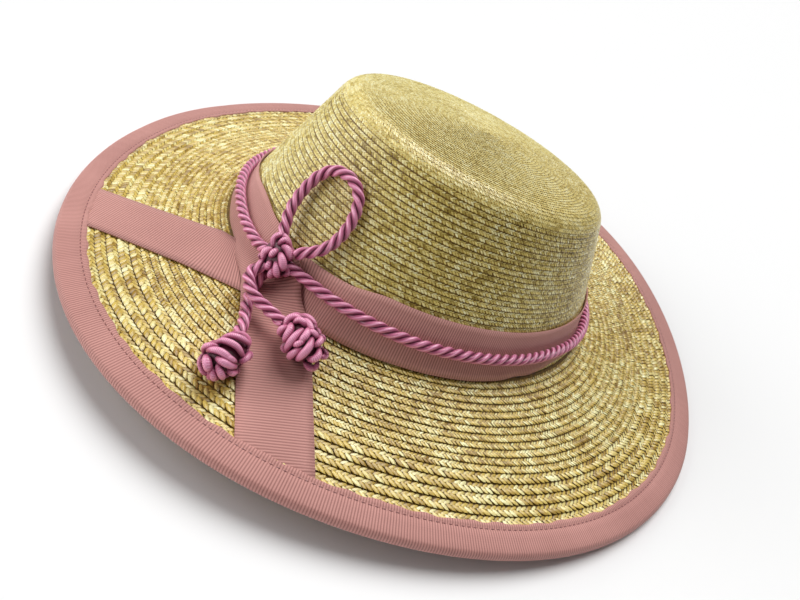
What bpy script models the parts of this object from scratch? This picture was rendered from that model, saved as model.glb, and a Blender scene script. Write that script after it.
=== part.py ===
"""Straw hat with a ribbon band, two ribbon tails and a knotted cord.

Metres, +Z up. The hat rests on the edge of its brim at z = 0, its front faces -Y,
and its crown leans back a little. Every outline is an oval whose place is given by
an angle: 0 degrees is +X, 90 degrees the back (+Y) and -90 degrees the front.
"""
import math

import bmesh
import bpy
from mathutils import Matrix, Vector

# Thicknesses and gaps
STRAW = 0.0018
RIBBON = 0.0010
GAP = 0.0003

# Foot of the crown: the oval line where the wall meets the brim
CROWN_CENTRE = (-0.0022, -0.0016)
FOOT_X = 0.0867
FOOT_Y = 0.1050
FOOT_Z = 0.0195
FOOT_FALL_BACK = 0.087
FOOT_FALL_LEFT = 0.022
FOOT_FILLET = 0.0030

# Crown, measured along its own axis, which leans back
CROWN_LEAN = math.radians(10.2)
CROWN_HEIGHT = 0.0642
TOP_X = 0.0666
TOP_Y = 0.0817
SHOULDER_RADIUS = 0.0103
SHOULDER_START = math.radians(25)
SHOULDER_END = math.radians(84)
DOME_RISE = 0.0040

# Outer line of the brim's edge, which dips at the sides, where the hat rests
RIM_X = 0.1569
RIM_Y = 0.1778
RIM_SQUARE = 0.0090
RIM_SKEW = -0.0040
RIM_Z = 0.0086
RIM_REST = 0.0031
RIM_WAVE = 0.0059
RIM_WAVE_TURN = math.radians(4.1)
BRIM_DROOP = 0.83

# Ribbon
BINDING_WIDTH = 0.0120
BINDING_LAND = 0.0030
FOLD_RADIUS = 0.0014
BAND_WIDTH = 0.0188
BAND_LIFT = 0.0008
BAND_FLARE = 0.0006
TAIL_WIDTH = 0.0275
TAIL_CROSSING = (-0.0169, -0.1011)
TAIL_LEFT_HEADING = math.radians(192.4)
TAIL_FRONT_HEADING = math.radians(-44.6)

# Cord and its knots
CORD_RADIUS = 0.0024
CORD_STEP = 0.0070
RING_STEP = 0.0135
KNOT_THICK = 0.0110
KNOT_WIDTH = 0.0145
KNOT_LENGTH = 0.0200
BALL_THICK = 0.0162
BALL_LEFT_LENGTH = 0.0225
BALL_RIGHT_LENGTH = 0.0245

SEGMENTS = 64


def turn(step):
    """Angle of one of the steps round the hat."""
    return 2.0 * math.pi * step / SEGMENTS


def foot_point(angle):
    x = FOOT_X * math.cos(angle)
    y = FOOT_Y * math.sin(angle)
    z = FOOT_Z - FOOT_FALL_BACK * y + FOOT_FALL_LEFT * x
    return Vector((CROWN_CENTRE[0] + x, CROWN_CENTRE[1] + y, z))


def rim_point(angle):
    swell = 1.0 + RIM_SQUARE * math.cos(4 * angle) + RIM_SKEW * math.sin(4 * angle)
    height = RIM_Z - RIM_WAVE * math.cos(2 * (angle - RIM_WAVE_TURN))
    x = RIM_X * swell * math.cos(angle)
    y = RIM_Y * swell * math.sin(angle)
    return Vector((x, y, max(height, RIM_REST)))


def brim_width(angle):
    spoke = rim_point(angle) - foot_point(angle)
    return math.hypot(spoke.x, spoke.y)


def brim_point(angle, share, lift=0.0):
    """Point on the brim's upper face, share 0 at the crown's foot and 1 at the rim."""
    inner = foot_point(angle)
    outer = rim_point(angle)
    point = inner.lerp(outer, share)
    point.z = inner.z + (outer.z - inner.z) * max(share, 0.0) ** BRIM_DROOP
    return point + Vector((0.0, 0.0, lift))


def crown_matrix():
    return Matrix.Translation((*CROWN_CENTRE, FOOT_Z)) @ Matrix.Rotation(-CROWN_LEAN, 4, "X")


def shoulder_point(angle, climb):
    """Point on the crown's rounded shoulder, climb from 0 at the side to 90 degrees on top."""
    inset = SHOULDER_RADIUS * (1.0 - math.cos(climb))
    height = CROWN_HEIGHT - SHOULDER_RADIUS * (1.0 - math.sin(climb))
    x = (TOP_X - inset) * math.cos(angle)
    y = (TOP_Y - inset) * math.sin(angle)
    return crown_matrix() @ Vector((x, y, height))


def dome_point(angle, share):
    """Point on the domed top, share 1 at the shoulder and 0 at the middle."""
    inset = SHOULDER_RADIUS * (1.0 - math.cos(SHOULDER_END))
    base = CROWN_HEIGHT - SHOULDER_RADIUS * (1.0 - math.sin(SHOULDER_END))
    height = base + DOME_RISE * (1.0 - share * share)
    x = (TOP_X - inset) * share * math.cos(angle)
    y = (TOP_Y - inset) * share * math.sin(angle)
    return crown_matrix() @ Vector((x, y, height))


def wall_line(angle):
    return foot_point(angle), shoulder_point(angle, SHOULDER_START)


def wall_length(angle):
    low, high = wall_line(angle)
    return (high - low).length


def wall_normal(angle):
    """Outward normal of the crown's wall."""
    nudge = 0.001
    low, high = wall_line(angle)
    along = foot_point(angle + nudge) - foot_point(angle - nudge)
    return along.cross(high - low).normalized()


def wall_point(angle, height, off=0.0):
    """Point off the crown's wall, height 0 at the foot and 1 where the shoulder starts."""
    low, high = wall_line(angle)
    return low.lerp(high, height) + wall_normal(angle) * off


def brim_normal(angle, share):
    nudge = 0.001
    outward = brim_point(angle, share + nudge) - brim_point(angle, share)
    along = brim_point(angle + nudge, share) - brim_point(angle - nudge, share)
    return outward.cross(along).normalized()


def over_brim(angle, share, off):
    """Point at a distance above the brim's upper face."""
    normal = brim_normal(angle, share)
    return brim_point(angle, share) + normal * off


def brim_spot(x, y):
    """Angle and share of the brim's point above a place in the plan."""
    middle = math.atan2((y - CROWN_CENTRE[1]) / FOOT_Y, (x - CROWN_CENTRE[0]) / FOOT_X)
    low, high = middle - 0.5, middle + 0.5
    for _ in range(40):
        middle = (low + high) / 2
        inner, outer = foot_point(middle), rim_point(middle)
        side = (outer.x - inner.x) * (y - inner.y) - (outer.y - inner.y) * (x - inner.x)
        if side > 0:
            low = middle
        else:
            high = middle
    spoke = Vector((outer.x - inner.x, outer.y - inner.y))
    reach = Vector((x - inner.x, y - inner.y))
    return middle, reach.dot(spoke) / spoke.length_squared


def make_material(name, colour, roughness):
    material = bpy.data.materials.new(name)
    material.use_nodes = True
    shader = material.node_tree.nodes["Principled BSDF"]
    shader.inputs["Base Color"].default_value = (*colour, 1.0)
    shader.inputs["Roughness"].default_value = roughness
    shader.inputs["Metallic"].default_value = 0.0
    material.diffuse_color = (*colour, 1.0)
    return material


def add_object(name, data, material):
    data.materials.append(material)
    item = bpy.data.objects.new(name, data)
    hat_parts.objects.link(item)
    item.parent = hat_frame
    return item


def grid_mesh(name, rows, closed, pole=None):
    """Open surface through rows of points, closed round each row or not, with an optional pole."""
    shape = bmesh.new()
    grid = [[shape.verts.new(point) for point in row] for row in rows]
    count = len(rows[0])
    last = count if closed else count - 1
    for lower, upper in zip(grid, grid[1:]):
        for step in range(last):
            following = (step + 1) % count
            shape.faces.new((lower[step], lower[following], upper[following], upper[step]))
    if pole is not None:
        tip = shape.verts.new(pole)
        for step in range(last):
            shape.faces.new((grid[-1][step], grid[-1][(step + 1) % count], tip))
    mesh = bpy.data.meshes.new(name)
    shape.to_mesh(mesh)
    shape.free()
    mesh.shade_smooth()
    mesh.set_sharp_from_angle(angle=math.radians(40))
    return mesh


def add_shell(name, mesh, thickness, material):
    """Give an open surface its thickness, behind its faces."""
    shell = add_object(name, mesh, material)
    solidify = shell.modifiers.new("thickness", "SOLIDIFY")
    solidify.thickness = thickness
    solidify.offset = -1.0
    solidify.use_even_offset = True
    return shell


def fillet_point(angle, share):
    """Point of the curve that leads from the brim (0) up into the wall (1)."""
    corner = foot_point(angle)
    out_on_brim = brim_point(angle, FOOT_FILLET / brim_width(angle))
    up_on_wall = wall_point(angle, FOOT_FILLET / wall_length(angle))
    return out_on_brim.lerp(corner, share).lerp(corner.lerp(up_on_wall, share), share)


def build_crown(material):
    """Sewn straw crown: a foot that flares into the brim, a wall, a shoulder and a dome."""
    seam = 0.5 + 0.5 * GAP / FOOT_FILLET
    rows = [[fillet_point(turn(step), share) for step in range(SEGMENTS)] for share in (seam, 0.8, 1.0)]
    for height in (0.30, 0.65):
        rows.append([wall_point(turn(step), height) for step in range(SEGMENTS)])
    for part in range(4):
        climb = SHOULDER_START + (SHOULDER_END - SHOULDER_START) * part / 3
        rows.append([shoulder_point(turn(step), climb) for step in range(SEGMENTS)])
    for share in (0.72, 0.40):
        rows.append([dome_point(turn(step), share) for step in range(SEGMENTS)])
    mesh = grid_mesh("crown", rows, True, pole=dome_point(0.0, 0.0))
    return add_shell("crown", mesh, STRAW, material)


def build_brim(material):
    """Sewn straw brim, from under the band out to the fold of the binding."""
    seam = 0.5 - 0.5 * GAP / FOOT_FILLET
    rows = []
    for share in (seam, 0.2, 0.0):
        rows.append([fillet_point(turn(step), share) for step in range(SEGMENTS)])
    for share in (0.28, 0.56):
        rows.append([brim_point(turn(step), share) for step in range(SEGMENTS)])
    for inset in (BINDING_WIDTH, BINDING_WIDTH / 2, FOLD_RADIUS + 2 * GAP + RIBBON):
        row = []
        for step in range(SEGMENTS):
            angle = turn(step)
            row.append(brim_point(angle, 1.0 - inset / brim_width(angle)))
        rows.append(row)
    rows.reverse()
    return add_shell("brim", grid_mesh("brim", rows, True), STRAW, material)


def binding_row(inset, drop):
    """One line of the binding's outer face, inset from the rim and dropped from the straw's middle."""
    row = []
    for step in range(SEGMENTS):
        angle = turn(step)
        row.append(brim_point(angle, 1.0 - inset / brim_width(angle), -STRAW / 2 - drop))
    return row


def build_binding(material):
    """Grosgrain ribbon folded over the rim; the fold's flat land is what the hat rests on."""
    cover = STRAW / 2 + GAP + RIBBON
    rows = [binding_row(BINDING_WIDTH, -cover)]
    rows.append(binding_row(BINDING_WIDTH / 2, -cover))
    rows.append(binding_row(FOLD_RADIUS, -cover))
    rows.append(binding_row(FOLD_RADIUS * 0.3, -0.7 * cover))
    rows.append(binding_row(0.0, 0.0))
    rows.append(binding_row(FOLD_RADIUS * 0.3, 0.7 * cover))
    for inset in (FOLD_RADIUS, FOLD_RADIUS + BINDING_LAND):
        land = binding_row(inset, cover)
        for step, point in enumerate(land):
            point.z = min(point.z, rim_point(turn(step)).z - STRAW / 2 - cover)
        rows.append(land)
    rows.append(binding_row(BINDING_WIDTH, cover))
    rows.reverse()
    return add_shell("brim_binding", grid_mesh("brim_binding", rows, True), RIBBON, material)


def build_band(material):
    """Ribbon band standing on the brim round the foot of the crown."""
    off = GAP + RIBBON
    rows = []
    for share in (0.0, 0.5, 1.0):
        row = []
        for step in range(SEGMENTS):
            angle = turn(step)
            height = (BAND_LIFT + share * BAND_WIDTH) / wall_length(angle)
            row.append(wall_point(angle, height, off + BAND_FLARE * (1.0 - share)))
        rows.append(row)
    return add_shell("hat_band", grid_mesh("hat_band", rows, True), RIBBON, material)


def tail_spot(heading, along, across):
    """Place in the plan of a point on a ribbon tail, measured from the crossing."""
    ahead = Vector((math.cos(heading), math.sin(heading)))
    return Vector(TAIL_CROSSING) + ahead * along + Vector((-ahead.y, ahead.x)) * across


def first_along(heading, across, passed):
    """Distance along a tail's line where a test first holds, between 0 and 160 mm."""
    low, high = 0.0, 0.160
    for _ in range(30):
        middle = (low + high) / 2
        if passed(tail_spot(heading, middle, across)):
            high = middle
        else:
            low = middle
    return high


def off_band(spot):
    angle, share = brim_spot(spot.x, spot.y)
    return share * brim_width(angle) > 0.8 * FOOT_FILLET


def at_binding(spot):
    angle, share = brim_spot(spot.x, spot.y)
    return (1.0 - share) * brim_width(angle) < BINDING_WIDTH + 2.5 * GAP


def beside_front_tail(spot):
    """True where the left tail has come out from under the front one."""
    across = Vector((-math.sin(TAIL_FRONT_HEADING), math.cos(TAIL_FRONT_HEADING)))
    return (spot - Vector(TAIL_CROSSING)).dot(across) < -TAIL_WIDTH / 2 - GAP and off_band(spot)


def build_tail(name, heading, starts, material):
    """Flat end of the ribbon, from the band out to the binding."""
    rows = []
    columns = 5
    lengths = 12
    for column in range(columns):
        across = TAIL_WIDTH * (column / (columns - 1) - 0.5)
        near = first_along(heading, across, starts)
        far = first_along(heading, across, at_binding)
        row = []
        for step in range(lengths):
            spot = tail_spot(heading, near + (far - near) * step / (lengths - 1), across)
            angle, share = brim_spot(spot.x, spot.y)
            row.append(over_brim(angle, share, 1.5 * GAP + RIBBON))
        rows.append(row)
    return add_shell(name, grid_mesh(name, rows, False), RIBBON, material)


def smooth_route(points, spacing):
    """Evenly spaced points of a Catmull-Rom curve through the route's own points."""
    padded = [points[0] * 2 - points[1], *points, points[-1] * 2 - points[-2]]
    fine = []
    for first, start, end, last in zip(padded, padded[1:], padded[2:], padded[3:]):
        for part in range(16):
            share = part / 16
            bend = (2 * first - 5 * start + 4 * end - last) * share ** 2
            twist = (3 * start - first - 3 * end + last) * share ** 3
            fine.append((2 * start + (end - first) * share + bend + twist) / 2)
    fine.append(points[-1])
    lengths = [0.0]
    for before, after in zip(fine, fine[1:]):
        lengths.append(lengths[-1] + (after - before).length)
    count = max(3, round(lengths[-1] / spacing))
    even = []
    place = 0
    for step in range(count + 1):
        target = lengths[-1] * step / count
        while place < len(lengths) - 2 and lengths[place + 1] < target:
            place += 1
        span = lengths[place + 1] - lengths[place]
        even.append(fine[place].lerp(fine[place + 1], (target - lengths[place]) / span))
    return even


def add_cord(name, points, material, spacing=CORD_STEP):
    """Plain tube along the smooth curve through the given points."""
    curve = bpy.data.curves.new(name, "CURVE")
    curve.dimensions = "3D"
    curve.bevel_depth = CORD_RADIUS
    curve.bevel_resolution = 2
    curve.use_fill_caps = True
    route = smooth_route(points, spacing)
    spline = curve.splines.new("POLY")
    spline.points.add(len(route) - 1)
    for spot, point in zip(spline.points, route):
        spot.co = (*point, 1.0)
    return add_object(name, curve, material)


def wall_route(table):
    """Points off the crown's wall from rows of angle in degrees, height and distance off."""
    return [wall_point(math.radians(angle), height, off) for angle, height, off in table]


def brim_route(table):
    """Points over the brim from rows of angle in degrees, share and distance above."""
    return [over_brim(math.radians(angle), share, off) for angle, share, off in table]


class Knot:
    """A wound knot's place: the middle and the half sizes of its egg."""

    def __init__(self, near, far, facing, sizes):
        self.centre = (near + far) / 2
        self.along = (far - near).normalized()
        self.across = self.along.cross(facing).normalized()
        self.outward = self.across.cross(self.along).normalized()
        self.sizes = sizes

    def skin(self, towards, clear=2 * GAP):
        """Where a cord that comes from the given point ends, just off the knot."""
        ray = (towards - self.centre).normalized()
        axes = (self.across, self.outward, self.along)
        stretch = sum((2 * ray.dot(axis) / size) ** 2 for axis, size in zip(axes, self.sizes))
        return self.centre + ray * (1.0 / math.sqrt(stretch) + clear)


def cluster_knot():
    off = 3 * GAP + RIBBON + KNOT_THICK / 2
    low = wall_point(math.radians(-94.6), 0.062, off)
    high = wall_point(math.radians(-103.6), 0.253, off)
    facing = wall_normal(math.radians(-99))
    return Knot(low, high, facing, (KNOT_WIDTH, KNOT_THICK, KNOT_LENGTH))


def ball_knot(table, length):
    near, far = brim_route(table)
    angle, share, _ = table[0]
    facing = brim_normal(math.radians(angle), share)
    return Knot(near, far, facing, (BALL_THICK, BALL_THICK, length))


def add_knot(name, place, material):
    """An egg with shallow slanting ridges where its strands cross."""
    mesh = bpy.data.meshes.new(name)
    shape = bmesh.new()
    bmesh.ops.create_uvsphere(shape, u_segments=18, v_segments=12, radius=0.5)
    for vertex in shape.verts:
        spin = math.atan2(vertex.co.y, vertex.co.x)
        slope = vertex.co.z / 0.5
        ridge = 0.03 * math.sin(4 * spin + 5 * slope) * (1.0 - slope * slope)
        vertex.co *= 0.97 + ridge
    shape.to_mesh(mesh)
    shape.free()
    mesh.shade_smooth()
    knot = add_object(name, mesh, material)
    turned = Matrix((place.across, place.outward, place.along)).transposed()
    knot.matrix_world = Matrix.LocRotScale(place.centre, turned, place.sizes)


def build_ring(knot, material):
    """The cord round the band, from one side of the knot to the other."""
    off = 3 * GAP + RIBBON + CORD_RADIUS
    heights = [(-91.0, 0.167), (-78.0, 0.157), (-57.0, 0.143), (-29.0, 0.145), (-10.0, 0.150),
               (40.0, 0.140), (140.0, 0.140), (215.0, 0.138), (232.0, 0.140), (242.0, 0.127),
               (252.0, 0.124)]
    table = []
    for (angle, height), (next_angle, next_height) in zip(heights, heights[1:]):
        parts = max(1, round((next_angle - angle) / 6.0))
        for part in range(parts):
            share = part / parts
            between = height + (next_height - height) * share
            table.append((angle + (next_angle - angle) * share, between, off))
    table.append((*heights[-1], off))
    route = wall_route(table)
    start = knot.skin(route[0], 3 * GAP)
    end = knot.skin(route[-1], 3 * GAP)
    add_cord("cord_ring", [start, *route, end], material, RING_STEP)


def build_loop(knot, material):
    """The open loop: it leaves the knot's top, leans on the crown and comes back to its side."""
    table = [(-105.3, 0.378, 0.0062), (-106.9, 0.466, 0.0054), (-107.5, 0.548, 0.0046),
             (-107.2, 0.634, 0.0036), (-104.7, 0.708, 0.0028), (-99.9, 0.738, 0.0028),
             (-95.5, 0.728, 0.0028), (-91.9, 0.680, 0.0028), (-89.9, 0.606, 0.0030),
             (-89.0, 0.516, 0.0036), (-89.3, 0.423, 0.0045), (-90.9, 0.337, 0.0058)]
    route = wall_route(table)
    add_cord("cord_loop", [knot.skin(route[0]), *route, knot.skin(route[-1])], material)


def build_tail_cords(knot, left_ball, right_ball, material):
    """Two short tails: the right one crosses over the left one below the knot."""
    left = brim_route([(-98.4, 0.105, 0.0043), (-96.1, 0.184, 0.0042), (-93.9, 0.250, 0.0043),
                       (-91.4, 0.330, 0.0055)])
    right = brim_route([(-99.4, 0.120, 0.0110), (-97.3, 0.170, 0.0107), (-94.6, 0.203, 0.0105),
                        (-91.6, 0.203, 0.0098)])
    left_start = knot.skin(left[0], 4 * GAP)
    right_start = knot.skin(right[0], 5 * GAP)
    add_cord("cord_tail_left", [left_start, *left, left_ball.skin(left[-1])], material)
    add_cord("cord_tail_right", [right_start, *right, right_ball.skin(right[-1])], material)


def build_cord(material):
    """One twisted cord: the ring, the cluster knot, the loop and the tails with their ball knots."""
    knot = cluster_knot()
    left_ball = ball_knot([(-88.1, 0.413, 0.0086), (-87.6, 0.715, 0.0086)], BALL_LEFT_LENGTH)
    right_ball = ball_knot([(-86.5, 0.159, 0.0097), (-74.3, 0.336, 0.0097)], BALL_RIGHT_LENGTH)
    add_knot("cord_knot", knot, material)
    add_knot("ball_knot_left", left_ball, material)
    add_knot("ball_knot_right", right_ball, material)
    build_ring(knot, material)
    build_loop(knot, material)
    build_tail_cords(knot, left_ball, right_ball, material)


for old in list(bpy.data.objects):
    bpy.data.objects.remove(old, do_unlink=True)
hat_parts = bpy.data.collections.new("straw_hat")
bpy.context.scene.collection.children.link(hat_parts)
hat_frame = bpy.data.objects.new("hat_frame", None)
hat_parts.objects.link(hat_frame)

straw = make_material("straw", (0.62, 0.48, 0.22), 0.45)
ribbon = make_material("ribbon", (0.50, 0.23, 0.21), 0.75)
cord = make_material("cord", (0.60, 0.16, 0.36), 0.40)

build_crown(straw)
build_brim(straw)
build_binding(ribbon)
build_band(ribbon)
build_tail("ribbon_tail_left", TAIL_LEFT_HEADING, beside_front_tail, ribbon)
build_tail("ribbon_tail_front", TAIL_FRONT_HEADING, off_band, ribbon)
build_cord(cord)
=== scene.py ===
# %% [markdown]
# # A straw hat with a ribbon band and a knotted cord
# A sun hat is sewn from one long plait of straw. The plait starts in the middle of the
# crown's top, goes round and round, turns down over the shoulder and out over the brim.
# A ribbon is folded over the edge, a second one goes round the crown and crosses itself in
# front, and a twisted cord is knotted over it. The solids of the hat are loaded first as a
# fixed frame, and everything here is laid on them, in metres.

# %% Load the frame
import math

import bpy
import numpy as np
from mathutils import Matrix, Vector


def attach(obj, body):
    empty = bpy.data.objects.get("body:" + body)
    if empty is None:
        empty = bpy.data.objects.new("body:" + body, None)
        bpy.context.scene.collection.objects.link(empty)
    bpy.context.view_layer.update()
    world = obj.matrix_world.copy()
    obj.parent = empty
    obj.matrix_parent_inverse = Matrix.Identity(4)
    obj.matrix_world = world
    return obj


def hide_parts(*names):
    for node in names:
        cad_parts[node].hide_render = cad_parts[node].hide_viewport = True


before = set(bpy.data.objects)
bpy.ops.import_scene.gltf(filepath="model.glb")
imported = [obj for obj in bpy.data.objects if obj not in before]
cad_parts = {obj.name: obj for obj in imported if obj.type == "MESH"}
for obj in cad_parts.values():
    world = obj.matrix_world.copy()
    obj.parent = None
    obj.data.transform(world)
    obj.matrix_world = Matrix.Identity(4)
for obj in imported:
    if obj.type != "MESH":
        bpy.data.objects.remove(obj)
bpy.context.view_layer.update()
print("solids:", sorted(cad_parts))

# %% [markdown]
# ## The camera
# The hat lies on the floor by itself. The camera looks at it from above and to the hat's
# left front, and it is rolled, so that the hat seems to stand on its edge. A small lens
# shift moves the picture's middle, as a crop of a larger picture would.

# %% The camera
CAMERA_TURN = math.radians(19.16)
CAMERA_RISE = math.radians(31.16)
CAMERA_ROLL = math.radians(27.56)
CAMERA_DISTANCE = 0.4269
CAMERA_AIM = Vector((-0.0022, -0.0016, 0.0081))

right = Vector((math.cos(CAMERA_TURN), math.sin(CAMERA_TURN), 0.0))
back = Vector((math.sin(CAMERA_TURN) * math.cos(CAMERA_RISE),
               -math.cos(CAMERA_TURN) * math.cos(CAMERA_RISE), math.sin(CAMERA_RISE)))
up = back.cross(right)
camera_x = right * math.cos(CAMERA_ROLL) + up * math.sin(CAMERA_ROLL)
camera_y = up * math.cos(CAMERA_ROLL) - right * math.sin(CAMERA_ROLL)

camera_data = bpy.data.cameras.new("camera")
camera_data.lens = 38.29
camera_data.sensor_width = 36.0
camera_data.shift_x = -0.01125
camera_data.shift_y = -0.03875
camera_data.clip_end = 100.0
camera = bpy.data.objects.new("camera", camera_data)
axes = Matrix((camera_x, camera_y, back)).transposed()
camera.matrix_world = Matrix.LocRotScale(CAMERA_AIM + back * CAMERA_DISTANCE, axes, None)
bpy.context.scene.collection.objects.link(camera)
bpy.context.scene.camera = camera
print("camera height above the floor:", round(camera.location.z, 3), "m")

# %% [markdown]
# ## The hat's form as a few rules
# Every outline of the hat is an oval, and a place on it is an angle: 0 degrees is the +X
# side and -90 degrees the front. These rules give the same surfaces as the solids, for
# whole arrays of angles at once, so that plait, ribbon and cord can be laid on them.

# %% Rules for crown and brim
STRAW = 0.0018
CROWN_CENTRE = np.array((-0.0022, -0.0016, 0.0))
FOOT = (0.0867, 0.1050)
FOOT_Z, FALL_BACK, FALL_LEFT = 0.0195, 0.087, 0.022
LEAN, CROWN_HEIGHT = math.radians(10.2), 0.0642
TOP = (0.0666, 0.0817)
SHOULDER, SHOULDER_START, SHOULDER_END = 0.0103, math.radians(25), math.radians(84)
DOME_RISE = 0.0040
RIM = (0.1569, 0.1778)
RIM_SQUARE, RIM_SKEW = 0.0090, -0.0040
RIM_Z, RIM_REST, RIM_WAVE, RIM_TURN = 0.0086, 0.0031, 0.0059, math.radians(4.1)
DROOP = 0.83


def spot(x, y, z):
    """One array of points from arrays or numbers for each axis."""
    return np.stack(np.broadcast_arrays(x, y, z), axis=-1).astype(float)


def foot_point(angle):
    x, y = FOOT[0] * np.cos(angle), FOOT[1] * np.sin(angle)
    return CROWN_CENTRE + spot(x, y, FOOT_Z - FALL_BACK * y + FALL_LEFT * x)


def rim_point(angle):
    swell = 1 + RIM_SQUARE * np.cos(4 * angle) + RIM_SKEW * np.sin(4 * angle)
    height = RIM_Z - RIM_WAVE * np.cos(2 * (angle - RIM_TURN))
    return spot(RIM[0] * swell * np.cos(angle), RIM[1] * swell * np.sin(angle),
                np.maximum(height, RIM_REST))


def brim_width(angle):
    """Width of the brim seen from above."""
    return np.linalg.norm((rim_point(angle) - foot_point(angle))[..., :2], axis=-1)


def brim_point(angle, share):
    """Upper face of the brim, share 0 at the crown's foot and 1 at the rim."""
    share = np.asarray(share, float)
    inner, outer = foot_point(angle), rim_point(angle)
    point = inner + (outer - inner) * share[..., None]
    point[..., 2] = inner[..., 2] + (outer[..., 2] - inner[..., 2]) * np.maximum(share, 0) ** DROOP
    return point


def lean(x, y, z):
    """From the crown's own upright axes to the hat's, because the crown leans back."""
    turned = spot(x, y * math.cos(LEAN) + z * math.sin(LEAN), z * math.cos(LEAN) - y * math.sin(LEAN))
    return turned + CROWN_CENTRE + np.array((0.0, 0.0, FOOT_Z))


def shoulder_point(angle, climb):
    inset = SHOULDER * (1 - np.cos(climb))
    height = CROWN_HEIGHT - SHOULDER * (1 - np.sin(climb))
    return lean((TOP[0] - inset) * np.cos(angle), (TOP[1] - inset) * np.sin(angle), height)


def dome_point(angle, share):
    inset = SHOULDER * (1 - math.cos(SHOULDER_END))
    base = CROWN_HEIGHT - SHOULDER * (1 - math.sin(SHOULDER_END))
    height = base + DOME_RISE * (1 - share * share)
    return lean((TOP[0] - inset) * share * np.cos(angle), (TOP[1] - inset) * share * np.sin(angle), height)


def wall_point(angle, height):
    """Outer face of the crown's wall, height 0 at the foot and 1 where the shoulder starts."""
    low, high = foot_point(angle), shoulder_point(angle, SHOULDER_START)
    return low + (high - low) * np.asarray(height, float)[..., None]


def unit(v):
    return v / np.maximum(np.linalg.norm(v, axis=-1, keepdims=True), 1e-12)


def normal_of(surface, angle, place, nudge=1e-3):
    """Outward normal of a surface rule at places on it."""
    along = surface(angle + nudge, place) - surface(angle - nudge, place)
    across = surface(angle, place + nudge) - surface(angle, place - nudge)
    return unit(np.cross(along, across))


def over_wall(angle, height, off):
    angle, height = np.radians(angle), np.asarray(height, float)
    return wall_point(angle, height) + normal_of(wall_point, angle, height) * np.asarray(off)[..., None]


def over_brim(angle, share, off):
    angle, share = np.radians(angle), np.asarray(share, float)
    return brim_point(angle, share) - normal_of(brim_point, angle, share) * np.asarray(off)[..., None]


print("brim, side and front, in mm:", np.round(np.linalg.norm(
    rim_point(np.array((0.0, -np.pi / 2))) - foot_point(np.array((0.0, -np.pi / 2))), axis=-1) * 1000, 1))

# %% [markdown]
# ## Meshes from arrays
# A sheet is a grid of points, and a cord's strand is a grid that closes on itself round
# each row. One helper makes both, and it also lays a UV map in metres, so that a weave
# drawn in the UV map follows every bend.

# %% Helpers for meshes and curves
def grid_faces(rows, columns, wrap_rows, wrap_columns):
    r = np.arange(rows if wrap_rows else rows - 1)[:, None]
    c = np.arange(columns if wrap_columns else columns - 1)[None, :]
    r2, c2 = (r + 1) % rows, (c + 1) % columns
    corners = (r * columns + c, r * columns + c2, r2 * columns + c2, r2 * columns + c)
    return np.stack(corners, -1).reshape(-1, 4)


def add_object(name, data):
    piece = bpy.data.objects.new(name, data)
    bpy.context.scene.collection.objects.link(piece)
    return piece


def new_mesh(name, points, edges, faces):
    mesh = bpy.data.meshes.new(name)
    mesh.from_pydata(points.reshape(-1, 3).tolist(), edges, faces)
    return mesh


def set_values(mesh, name, kind, values):
    """Keeps one number or direction on each point."""
    layer = mesh.attributes.new(name, kind, "POINT")
    layer.data.foreach_set("value" if kind == "FLOAT" else "vector", values.astype(np.float32).ravel())


def add_mesh(name, points, faces, uv):
    """One object; a face that names its first corner twice is a triangle."""
    faces = [tuple(f[:3]) if f[3] == f[0] else tuple(f) for f in faces.tolist()]
    mesh = new_mesh(name, points, [], faces)
    layer = mesh.uv_layers.new(name="UVMap")
    corners = np.empty(len(mesh.loops), np.int32)
    mesh.loops.foreach_get("vertex_index", corners)
    layer.data.foreach_set("uv", uv.reshape(-1, 2)[corners].astype(np.float32).ravel())
    mesh.shade_smooth()
    return add_object(name, mesh)


def smooth(points, spacing):
    """Evenly spaced points on a Catmull-Rom curve through rows of numbers."""
    points = np.asarray(points, float)
    padded = np.concatenate([[2 * points[0] - points[1]], points, [2 * points[-1] - points[-2]]])
    t = np.linspace(0, 1, 24, endpoint=False)[:, None]
    fine = []
    for a, b, c, d in zip(padded, padded[1:], padded[2:], padded[3:]):
        fine.append((2 * b + (c - a) * t + (2 * a - 5 * b + 4 * c - d) * t ** 2
                     + (3 * b - a - 3 * c + d) * t ** 3) / 2)
    fine = np.concatenate([*fine, points[-1:]])
    return resample(fine, spacing)


def travelled_along(path):
    """Distance from the start at each point of a line."""
    return np.concatenate([[0], np.cumsum(np.linalg.norm(np.diff(path, axis=0), axis=1))])


def resample(fine, spacing):
    travelled = travelled_along(fine[:, :3])
    wanted = np.linspace(0, travelled[-1], max(3, round(travelled[-1] / spacing)) + 1)
    return np.stack([np.interp(wanted, travelled, fine[:, k]) for k in range(fine.shape[1])], -1)


def length_of(path):
    return float(np.linalg.norm(np.diff(path, axis=0), axis=1).sum())


# %% [markdown]
# Straws and stitches repeat thousands of times, so they come from node trees. Two small
# helpers start a tree and add nodes to it.

# %% Helpers for node trees
def new_tree(name, inputs):
    tree = bpy.data.node_groups.new(name, "GeometryNodeTree")
    tree.interface.new_socket("Geometry", in_out="INPUT", socket_type="NodeSocketGeometry")
    for label, kind, value in inputs:
        socket = tree.interface.new_socket(label, in_out="INPUT", socket_type=kind)
        if value is not None:
            socket.default_value = value
    tree.interface.new_socket("Geometry", in_out="OUTPUT", socket_type="NodeSocketGeometry")
    return tree


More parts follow.
